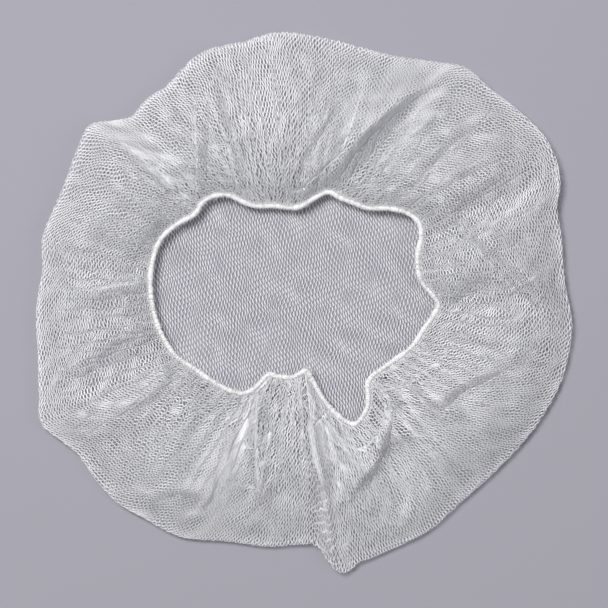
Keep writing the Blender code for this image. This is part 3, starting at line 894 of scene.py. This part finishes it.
def node(tree, kind, **values):
    made = tree.nodes.new(kind)
    for key, value in values.items():
        if key in made.inputs:
            made.inputs[key].default_value = value
        else:
            setattr(made, key, value)
    return made


def nylon_material():
    """White nylon yarn: twisted filaments, faintly glossy."""
    material = bpy.data.materials.new("white_nylon_net")
    material.use_nodes = True
    tree = material.node_tree
    shader = tree.nodes["Principled BSDF"]
    shader.inputs["IOR"].default_value = 1.53
    shader.inputs["Sheen Weight"].default_value = 0.15
    shader.inputs["Subsurface Weight"].default_value = 0.0
    place = node(tree, "ShaderNodeTexCoord")
    filaments = node(tree, "ShaderNodeTexNoise", Scale=5200.0, Detail=2.0)
    tree.links.new(place.outputs["Object"], filaments.inputs["Vector"])
    tone = node(tree, "ShaderNodeTexNoise", Scale=90.0, Detail=3.0)
    tree.links.new(place.outputs["Object"], tone.inputs["Vector"])
    ramp = node(tree, "ShaderNodeValToRGB")
    ramp.color_ramp.elements[0].position = 0.3
    ramp.color_ramp.elements[0].color = (0.80, 0.805, 0.835, 1)
    ramp.color_ramp.elements[1].position = 0.7
    ramp.color_ramp.elements[1].color = (0.87, 0.875, 0.90, 1)
    tree.links.new(tone.outputs["Fac"], ramp.inputs["Fac"])
    tree.links.new(ramp.outputs["Color"], shader.inputs["Base Color"])
    gloss = node(tree, "ShaderNodeMapRange")
    gloss.inputs["To Min"].default_value = 0.38
    gloss.inputs["To Max"].default_value = 0.58
    tree.links.new(filaments.outputs["Fac"], gloss.inputs["Value"])
    tree.links.new(gloss.outputs["Result"], shader.inputs["Roughness"])
    bump = node(tree, "ShaderNodeBump", Strength=0.3, Distance=0.00002)
    tree.links.new(filaments.outputs["Fac"], bump.inputs["Height"])
    tree.links.new(bump.outputs["Normal"], shader.inputs["Normal"])
    return material


def thread_material(name, pale, dark, roughness):
    """Matt spun thread with fine lint."""
    material = bpy.data.materials.new(name)
    material.use_nodes = True
    tree = material.node_tree
    shader = tree.nodes["Principled BSDF"]
    shader.inputs["Sheen Weight"].default_value = 0.4
    place = node(tree, "ShaderNodeTexCoord")
    lint = node(tree, "ShaderNodeTexNoise", Scale=2600.0, Detail=4.0)
    tree.links.new(place.outputs["Object"], lint.inputs["Vector"])
    ramp = node(tree, "ShaderNodeValToRGB")
    ramp.color_ramp.elements[0].position = 0.3
    ramp.color_ramp.elements[0].color = (*dark, 1)
    ramp.color_ramp.elements[1].position = 0.65
    ramp.color_ramp.elements[1].color = (*pale, 1)
    tree.links.new(lint.outputs["Fac"], ramp.inputs["Fac"])
    tree.links.new(ramp.outputs["Color"], shader.inputs["Base Color"])
    rough = node(tree, "ShaderNodeMapRange")
    rough.inputs["To Min"].default_value = roughness - 0.1
    rough.inputs["To Max"].default_value = roughness + 0.08
    tree.links.new(lint.outputs["Fac"], rough.inputs["Value"])
    tree.links.new(rough.outputs["Result"], shader.inputs["Roughness"])
    bump = node(tree, "ShaderNodeBump", Strength=0.4, Distance=0.00004)
    tree.links.new(lint.outputs["Fac"], bump.inputs["Height"])
    tree.links.new(bump.outputs["Normal"], shader.inputs["Normal"])
    return material


def make_camera():
    camera = bpy.data.cameras.new("camera")
    camera.sensor_width = SENSOR_WIDTH
    camera.lens = SENSOR_WIDTH * CAMERA_HEIGHT / (PHOTO_SIZE * PIXEL)
    camera.clip_end = 50
    holder = bpy.data.objects.new("camera", camera)
    holder.location = (*VIEW_MIDDLE, CAMERA_HEIGHT)
    bpy.context.scene.collection.objects.link(holder)
    bpy.context.scene.camera = holder


def make_floor():
    """A plain pale paper surface, which isn't part of the object."""
    corners = np.array([[-1, -1, 0], [1, -1, 0], [1, 1, 0], [-1, 1, 0]])
    vertices = corners * FLOOR_HALF
    vertices[:, 2] = -FLOOR_DROP
    material = bpy.data.materials.new("pale_paper")
    material.use_nodes = True
    tree = material.node_tree
    shader = tree.nodes["Principled BSDF"]
    shader.inputs["Roughness"].default_value = 0.9
    shader.inputs["Specular IOR Level"].default_value = 0.2
    shader.inputs["Base Color"].default_value = FLOOR_COLOUR
    floor = mesh_object("floor", vertices, np.array([[0, 1, 2, 3]]), material)


def area_light(name, place, size, power, colour):
    """A square light that faces the middle of the scene."""
    light = bpy.data.lights.new(name, "AREA")
    light.shape = "SQUARE"
    light.size = size
    light.energy = power
    light.color = colour
    holder = bpy.data.objects.new(name, light)
    holder.location = place
    tilt = math.acos(place[2] / np.linalg.norm(place))
    holder.rotation_euler = (tilt, 0, math.atan2(place[0], -place[1]))
    bpy.context.scene.collection.objects.link(holder)


def make_lights():
    area_light("key", (-0.9, 0.95, 2.5), size=1.1, power=78, colour=(1.0, 0.99, 0.98))
    area_light("fill", (1.8, -0.1, 1.8), size=1.6, power=9, colour=(0.96, 0.97, 1.0))
    world = bpy.data.worlds.new("studio")
    world.use_nodes = True
    background = world.node_tree.nodes["Background"]
    background.inputs["Color"].default_value = (0.96, 0.97, 1.0, 1)
    background.inputs["Strength"].default_value = 0.17
    bpy.context.scene.world = world
    bpy.context.scene.view_settings.view_transform = "Standard"


def main():
    make_camera()
    make_lights()
    make_floor()
    cloth = Cloth()
    nylon = nylon_material()
    core = thread_material("white_elastic", (0.93, 0.93, 0.94), (0.82, 0.82, 0.84), 0.85)
    thread = thread_material("white_overlock_thread", (0.96, 0.96, 0.965), (0.88, 0.88, 0.89), 0.75)
    make_band(cloth, core, thread)
    make_net(cloth, nylon)


main()
